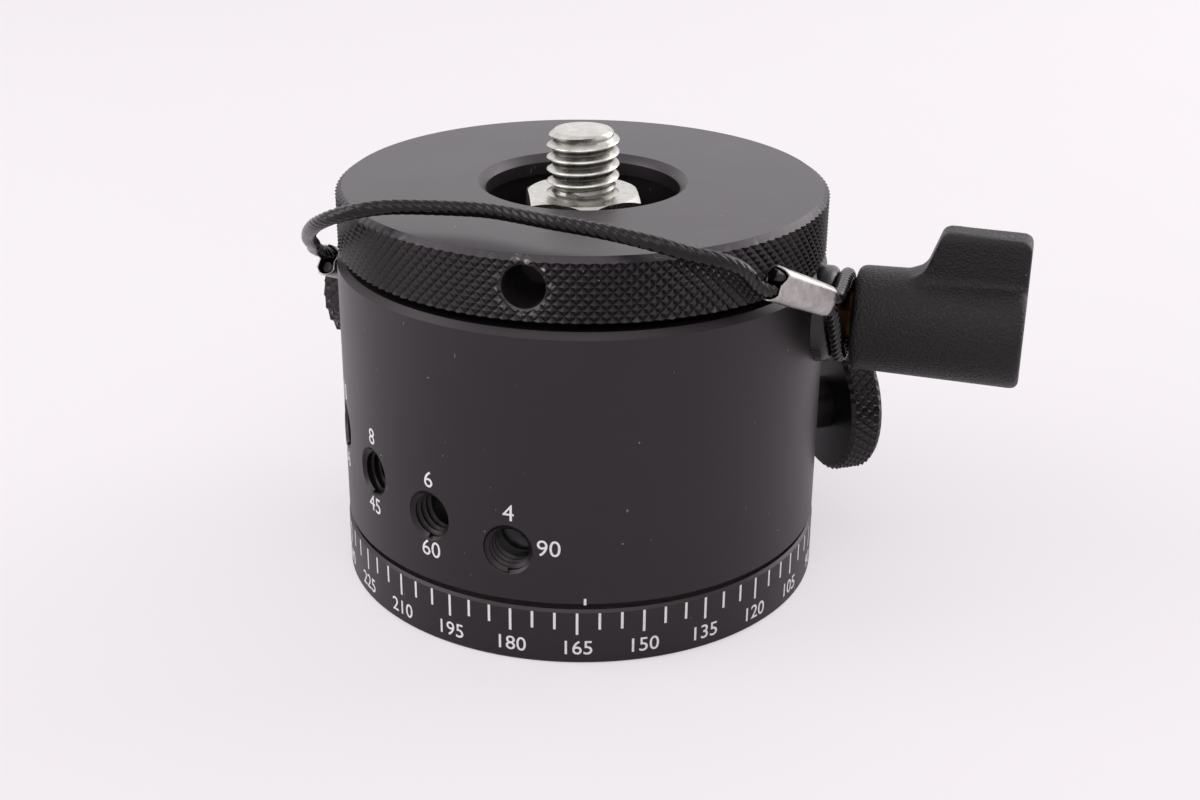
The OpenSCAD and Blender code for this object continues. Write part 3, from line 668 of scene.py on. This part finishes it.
def makeKnob(name, look, body, node):
    r, length, c = look["radius"], look["length"], knobEdge["chamfer"]
    dish, dishDepth = r * knobEdge["dishShare"], knobEdge["dishDepth"]
    band = [(r, c + (length - 2 * c) * i / look["rows"]) for i in range(look["rows"] + 1)]
    boss = [(look["boss"], -look["bossLength"]), (look["boss"], 0.0)] if look["bossLength"] else []
    profile = [(0, look["boreDepth"]), (look["bore"], look["boreDepth"]),
               (look["bore"], -look["bossLength"])] + boss + [(r - c, 0)] + band + [
        (r - c, length), (dish, length), (dish - dishDepth, length - dishDepth),
        (0, length - dishDepth)]
    bm = spun(profile, 2 * look["around"])
    knurl(bm, {"radius": r, "from": c, "to": length - c, "rows": look["rows"],
               "around": look["around"], "depth": look["depth"], "flat": look["flat"]})
    bm.transform(outward(look["turn"], look["height"], look["reach"]))
    addPiece(bm, name, [knurled], body, [node], 25)


makeKnob("knurledDragKnob", dragLook, "drag_knob", "drag_knob")
makeKnob("knurledPlungerKnob", plungerLook, "plunger", "plunger_knob")
print("knobs done")

# The stud: a 3/8 inch thread that runs out below, a dished tip and a neck above its shank
studLook = {
    "radius": 4.7625, "pitch": 1.5875, "depth": 0.80, "top": 60.4, "tip": 0.95, "tipIn": 1.05,
    "neckRadius": 4.15, "threadFrom": 52.75, "runOut": 0.8, "neckDown": 0.45, "shankDown": 0.75,
    "foot": 41.5, "phase": 0.78, "steps": 48, "dishShare": 0.82, "dishDepth": 0.02,
    # how deep in a root the painted shade starts, and how fast it darkens
    "rootShadeFrom": 0.35, "rootShadeGain": 1.6,
}


def makeThread(look):
    # one pitch of the thread's outline, wound up round +Z, then cut level at both ends
    outline = [(0.0, 0.0), (0.12, 0.03), (0.36, 0.62), (0.44, 0.94), (0.5, 1.0), (0.56, 0.94),
               (0.64, 0.62), (0.88, 0.03), (1.0, 0.0)]
    turns = math.ceil((look["top"] - look["threadFrom"]) / look["pitch"]) + 3
    start = look["threadFrom"] - look["pitch"] - look["phase"]
    bm = bmesh.new()
    wound(bm, [(look["radius"] - look["depth"] * (1 - rise), start + share * look["pitch"])
               for share, rise in outline], look, turns)
    bmesh.ops.remove_doubles(bm, verts=bm.verts, dist=2e-6)
    for level, side in ((look["top"], 1), (look["threadFrom"], -1)):
        bmesh.ops.bisect_plane(bm, geom=bm.verts[:] + bm.edges[:] + bm.faces[:], dist=1e-7,
                               plane_co=(0, 0, level * mm), plane_no=(0, 0, side), clear_outer=True)
    return bm


def makeStud(look):
    bm = makeThread(look)
    top, tip, r = look["top"], look["tip"], look["radius"]
    for vert in bm.verts:
        height = vert.co.z / mm
        reach = math.hypot(vert.co.x, vert.co.y) / mm
        limit = r
        if height > top - tip:
            limit = r - look["tipIn"] * (height - (top - tip)) / tip
        rise = height - look["threadFrom"]
        if rise < look["runOut"]:
            limit = min(limit, look["neckRadius"]
                        + (r - look["neckRadius"]) * max(rise, 0) / look["runOut"])
        if reach > limit:
            vert.co.x *= limit / reach
            vert.co.y *= limit / reach
    halfway = (top + look["threadFrom"]) / 2 * mm
    upper, rim = [], []
    for edge in bm.edges:
        if edge.is_boundary:
            (upper if edge.verts[0].co.z > halfway else rim).append(edge)
    # a slight dish in the tip's face, and the plain shank down into the plug
    up = bmesh.ops.extrude_edge_only(bm, edges=upper)["geom"]
    for vert in vertsOf(up):
        vert.co = Vector((vert.co.x * look["dishShare"], vert.co.y * look["dishShare"],
                          (top - look["dishDepth"]) * mm))
    bmesh.ops.contextual_create(bm, geom=[e for e in edgesOf(up) if e.is_boundary])
    shank = [(look["neckRadius"], look["threadFrom"] - look["neckDown"]),
             (r, look["threadFrom"] - look["shankDown"]), (r, look["foot"])]
    for reach, height in shank:
        down = bmesh.ops.extrude_edge_only(bm, edges=rim)["geom"]
        rim = edgesOf(down)
        for vert in vertsOf(down):
            share = reach * mm / math.hypot(vert.co.x, vert.co.y)
            vert.co = Vector((vert.co.x * share, vert.co.y * share, height * mm))
    bmesh.ops.contextual_create(bm, geom=rim)
    bmesh.ops.triangulate(bm, faces=[f for f in bm.faces if len(f.verts) > 4])
    stud = addPiece(bm, "threadedStud", [zincPlate], "housing", ["camera_stud"], 40)
    # painted shade in the roots of the thread, darker the deeper the point lies
    paintedRootShade = stud.data.attributes.new("paintedRootShade", "FLOAT", "POINT")
    for vert in stud.data.vertices:
        sunk = 1 - (math.hypot(vert.co.x, vert.co.y) / mm - (r - look["depth"])) / look["depth"]
        inThread = look["threadFrom"] - 0.5 < vert.co.z / mm < top - tip
        rootShadeShare = min(max((sunk - look["rootShadeFrom"]) * look["rootShadeGain"], 0), 1)
        paintedRootShade.data[vert.index].value = rootShadeShare if inThread else 0.0


makeStud(studLook)
print("stud done")

# Threads in the nine empty index holes, which bite a little into the wall
holeThread = {"pitch": 1.0, "height": 0.48, "from": 27.6, "turns": 4, "steps": 28, "bite": 0.02}


def makeHoleThreads(look):
    bm = bmesh.new()
    for i in range(len(head["stops"])):
        if i == head["plungerHole"]:
            continue
        turn, height = holePlace(i)
        before = set(bm.verts)
        r = head["holeRadius"] + look["bite"]
        crest = r - look["height"]
        outline = [(reach, share * look["pitch"])
                   for reach, share in ((r, 0.04), (crest, 0.42), (crest, 0.58), (r, 0.96))]
        for end in wound(bm, outline, look, look["turns"], closed=True):
            bmesh.ops.contextual_create(bm, geom=end)
        made = [v for v in bm.verts if v not in before]
        bmesh.ops.transform(bm, matrix=outward(turn, height, look["from"]), verts=made)
    addPiece(bm, "indexHoleThreads", [knurled], "housing", (), 30)


makeHoleThreads(holeThread)

# The printed scale, the numbers round the holes and the index line. Each hole's numbers stand
# aside of and above its middle, in degrees and millimetres
printLook = {
    "ink": 0.03, "zeroTurn": -90.73 + 165, "tickTop": 7.31, "tickLong": 4.25, "tickShort": 4.95,
    "tickWidth": 0.33, "numberHeight": 2.25, "numberSize": 2.8, "thin": 0.012,
    "indexTurn": -89.0, "indexHeight": 8.9, "indexSize": (0.33, 0.9),
    "labelSize": 3.15, "labelThin": 0.0,
    "countAt": (0.3, 5.0), "firstDegreesAt": (9.2, 0.6), "degreesAt": (0.5, -4.7),
}


def wrapped(verts, turn, height, radius):
    # bends flat marks, drawn round their own middle, onto the side of a cylinder
    for vert in verts:
        angle = math.radians(turn) + vert.co.x / (radius * mm)
        reach = radius * mm + vert.co.z
        vert.co = Vector((reach * math.cos(angle), reach * math.sin(angle), height * mm + vert.co.y))


def addMark(bm, turn, height, radius, width, length):
    made = bmesh.ops.create_cube(bm, size=1)["verts"]
    bmesh.ops.scale(bm, vec=(width * mm, length * mm, printLook["ink"] * mm), verts=made)
    wrapped(made, turn, height, radius)


def addText(bm, words, turn, height, radius, size, thin):
    # prints the words, their strokes fattened by thin millimetres
    data = bpy.data.curves.new("printedNumber", "FONT")
    data.body = words
    data.size = size * mm
    data.align_x = "CENTER"
    data.align_y = "CENTER"
    data.offset = thin * mm
    data.extrude = printLook["ink"] * mm / 2
    data.resolution_u = 4
    letters = placed("printedNumber", data)
    bpy.context.view_layer.update()
    shaped = letters.evaluated_get(bpy.context.evaluated_depsgraph_get())
    mesh = bpy.data.meshes.new_from_object(shaped)
    before = len(bm.verts)
    bm.from_mesh(mesh)
    bm.verts.ensure_lookup_table()
    wrapped(bm.verts[before:], turn, height, radius)
    bpy.data.objects.remove(letters)
    bpy.data.curves.remove(data)
    bpy.data.meshes.remove(mesh)


def makeScale(look):
    bm = bmesh.new()
    for value in range(0, 360, 5):
        turn = look["zeroTurn"] - value
        bottom = look["tickShort"] if value % 15 else look["tickLong"]
        addMark(bm, turn, (look["tickTop"] + bottom) / 2, head["baseRadius"], look["tickWidth"],
                look["tickTop"] - bottom)
        if value % 15 == 0:
            addText(bm, str(value), turn, look["numberHeight"], head["baseRadius"],
                    look["numberSize"], look["thin"])
    bmesh.ops.remove_doubles(bm, verts=bm.verts, dist=1e-7)
    addPiece(bm, "degreeScale", [whiteInk], "base", (), 60)


def makeLabels(look):
    bm = bmesh.new()
    addMark(bm, look["indexTurn"], look["indexHeight"], head["bodyRadius"], *look["indexSize"])
    for i, count in enumerate(head["stops"]):
        turn, height = holePlace(i)
        degreesAt = look["degreesAt" if i else "firstDegreesAt"]
        for words, (aside, above) in ((str(count), look["countAt"]), (f"{360 / count:g}", degreesAt)):
            addText(bm, words, turn + aside, height + above, head["bodyRadius"],
                    look["labelSize"], look["labelThin"])
    bmesh.ops.remove_doubles(bm, verts=bm.verts, dist=1e-7)
    addPiece(bm, "stopNumbers", [whiteInk], "housing", (), 60)


makeScale(printLook)
makeLabels(printLook)
print("printing done")

# The wing knob: the CAD solid with its edges softened as a mould leaves them
wingLook = {"voxel": 0.28, "smoothings": 6, "fill": 0.07}


def makeWing(look):
    bm = bmesh.new()
    bm.from_mesh(nodes["wing_knob"].data)
    bmesh.ops.remove_doubles(bm, verts=bm.verts, dist=1e-6)
    wing = addPiece(bm, "mouldedWingKnob", [grainedNylon], None, ["wing_knob"])
    remesh = wing.modifiers.new("mould", "REMESH")
    remesh.mode = "VOXEL"
    remesh.voxel_size = look["voxel"] * mm
    applied(wing)
    bm = bmesh.new()
    bm.from_mesh(wing.data)
    for _ in range(look["smoothings"]):
        bmesh.ops.smooth_vert(bm, verts=bm.verts, factor=0.5, use_axis_x=True, use_axis_y=True,
                              use_axis_z=True)
    bm.normal_update()
    outwards = [vert.normal * (look["fill"] * mm) for vert in bm.verts]
    for vert, step in zip(bm.verts, outwards):
        vert.co += step  # gives back what the smoothing took
    for face in bm.faces:
        face.smooth = True
    bm.to_mesh(wing.data)
    bm.free()
    wing.data.materials.clear()
    wing.data.materials.append(grainedNylon)
    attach(wing, "lock_knob")


makeWing(wingLook)
print("wing knob done")

# The crimped sleeves: shares of the width or height that the press took or gave, the share of the
# length that it reached, and the bevel of the cut rims
sleeveLook = {
    "wall": 0.33, "around": 40, "stations": 18, "narrow": 0.14, "valley": 0.20, "valleyWidth": 1.1,
    "pressed": 0.75, "round": 0.16, "cutBack": 1.7, "cutShare": 0.6, "cutSlant": 4,
    "rimAngle": 60, "rimBevel": 0.07,
}


def makeSleeve(name, ends, body, node):
    # an oval tube over both strands, pressed flat between them at its mouth, rounder and
    # narrower towards the eye, with the near wall of its mouth cut back aslant
    start, end, along, across = sleeveFrame(ends)
    side = across.cross(along)
    length = (end - start).length
    rope, wall = ropeLook["radius"], sleeveLook["wall"]
    bm = bmesh.new()
    ring = bmesh.ops.create_circle(bm, cap_ends=False, radius=1,
                                   segments=sleeveLook["around"])["verts"]
    for vert in ring:
        stretch = rope if vert.co.x > 1e-6 else -rope if vert.co.x < -1e-6 else 0
        vert.co.x = vert.co.x * (rope + wall) + stretch
        vert.co.y = vert.co.y * (rope + wall)
    edges = bm.edges[:]
    layers = [(ring, 0.0)]
    for i in range(1, sleeveLook["stations"] + 1):
        made = bmesh.ops.extrude_edge_only(bm, edges=edges)["geom"]
        edges = edgesOf(made)
        layers.append((vertsOf(made), i / sleeveLook["stations"]))
    for verts, station in layers:
        pressed = max(0.0, 1 - station / sleeveLook["pressed"])
        for vert in verts:
            middle = max(0.0, 1 - abs(vert.co.x) / (rope * sleeveLook["valleyWidth"])) ** 1.5
            vert.co.y *= 1 - sleeveLook["valley"] * pressed * middle
            vert.co.y *= 1 + sleeveLook["round"] * middle * station
            vert.co.x *= 1 - sleeveLook["narrow"] * station ** 1.5
            back = (sleeveLook["cutBack"] * max(0.0, -vert.co.y / (rope + wall))
                    * (1 + vert.co.x / sleeveLook["cutSlant"]))
            vert.co.z = station * length + back * (1 - station) ** 3 * sleeveLook["cutShare"]
    facedOut(bm)
    bmesh.ops.solidify(bm, geom=bm.faces[:], thickness=wall * 0.8)
    rims = [e for e in bm.edges if e.calc_face_angle(0) > math.radians(sleeveLook["rimAngle"])]
    bmesh.ops.bevel(bm, geom=rims, offset=sleeveLook["rimBevel"], offset_type="OFFSET", segments=2,
                    profile=0.5, affect="EDGES", material=-1)
    rows = [[axis[i] * mm for axis in (across, side, along, start)] for i in range(3)]
    bm.transform(Matrix(rows + [[0, 0, 0, 1]]))
    addPiece(bm, name, [crimpMetal], body, [node], 45)


makeSleeve("crimpedSleeveAtWing", necks["lock"]["ends"], "housing", "lock_sleeve")
makeSleeve("crimpedSleeveAtPlunger", necks["plunger"]["ends"], "plunger_slider", "plunger_sleeve")


# The cut ends of the strands beside the tether, one a little out of its sleeve's mouth and one
# just inside it
tailLook = {
    "profile": [(0, 0), (0.72, 0), (0.88, 0.14), (0.9, 3.2), (0, 3.2)],
    "ends": (("lock", "housing", 1, -0.35), ("plunger", "plunger_slider", -1, 0.9)),
}


def makeTails(look):
    for key, body, side, inset in look["ends"]:
        start, _, along, across = sleeveFrame(necks[key]["ends"])
        bm = spun(look["profile"], 24)
        foot = start + across * (side * ropeLook["radius"]) + along * inset
        turned = along.to_track_quat("Z", "Y").to_matrix().to_4x4()
        bm.transform(Matrix.Translation(foot * mm) @ turned)
        addPiece(bm, f"cutRopeEnd_{key}", [ropeCoat], body, (), 40)


makeTails(tailLook)
print("sleeves done")

# place, size and power of each soft lamp, all aimed at the object's middle
lamps = {
    "backSoftbox": {"place": (0.0, 0.75, 0.55), "size": (1.3, 0.6), "watts": 0.9},
    "leftSoftbox": {"place": (-0.72, -0.08, 0.38), "size": (0.5, 0.75), "watts": 2.6},
    "rightSoftbox": {"place": (0.64, 0.34, 0.34), "size": (0.5, 0.7), "watts": 2.5},
    "frontSoftbox": {"place": (0.0, -0.65, 0.85), "size": (1.1, 0.7), "watts": 3.0},
}
target = Vector((0, 0, 0.03))
for name, lamp in lamps.items():
    data = bpy.data.lights.new(name, "AREA")
    data.shape = "RECTANGLE"
    data.size, data.size_y = lamp["size"]
    data.energy = lamp["watts"]
    light = placed(name, data)
    light.location = lamp["place"]
    light.rotation_euler = (target - Vector(lamp["place"])).to_track_quat("-Z", "Y").to_euler()

floorLook = {
    "size": 4.0, "tone": "#f4eff3", "mottle": "#f1ecf0", "patch": 60, "ior": 1.2,
    "roughness": (0.9, 0.95), "even": 0.55, "seen": "#faf5f9",
}
bm = bmesh.new()
bmesh.ops.create_grid(bm, x_segments=1, y_segments=1, size=floorLook["size"] / 2)
floorMesh = meshOf(bm, "paleFloor")
floor = placed("paleFloor", floorMesh)
# Matt white paper sweep: a very slight mottle, and a soft shadow under the object
paper, paperTree, paperShader, paperPlace = newMaterial("mattWhitePaper", {"IOR": floorLook["ior"]})
mottle = patches(paperTree, paperPlace, floorLook["patch"] * mm, 0.0, 1.0)
paperTone = laidOver(paperTree, floorLook["tone"], [(mottle, 1.0, floorLook["mottle"])])
finished(paperTree, paperShader, paperTone, mottle, floorLook["roughness"], mottle, 0.0)
# the camera sees the sweep as evenly lit as a light tent makes it, with its shadow kept
seenByCamera = addNode(paperTree, "LightPath").outputs["Is Camera Ray"]
even = addNode(paperTree, "MapRange", {"To Min": 0.0, "To Max": floorLook["even"]},
               {"Value": seenByCamera})
lit = addNode(paperTree, "Emission", {"Color": colour(floorLook["seen"]), "Strength": 1.0})
both = addNode(paperTree, "MixShader", links={
    0: even.outputs[0], 1: paperShader.outputs[0], 2: lit.outputs[0]})
paperTree.links.new(both.outputs[0], paperTree.nodes["Material Output"].inputs["Surface"])
floorMesh.materials.append(paper)

worldLook = {"ambient": 0.56, "tint": "#fbf8fb"}
world = bpy.data.worlds.new("studio")
bpy.context.scene.world = world
world.use_nodes = True
sky = world.node_tree
sky.nodes.clear()
path = addNode(sky, "LightPath").outputs
seen = path["Is Camera Ray"]
for ray in ("Is Glossy Ray", "Is Transmission Ray"):
    seen = addNode(sky, "Math", {"operation": "MAXIMUM"}, {0: seen, 1: path[ray]}).outputs[0]
strength = addNode(sky, "MapRange", {"To Min": worldLook["ambient"], "To Max": 1.0},
                   {"Value": seen}).outputs["Result"]
glow = addNode(sky, "Background", {"Color": colour(worldLook["tint"])}, {"Strength": strength})
addNode(sky, "OutputWorld", links={"Surface": glow.outputs["Background"]})
print("scene done")
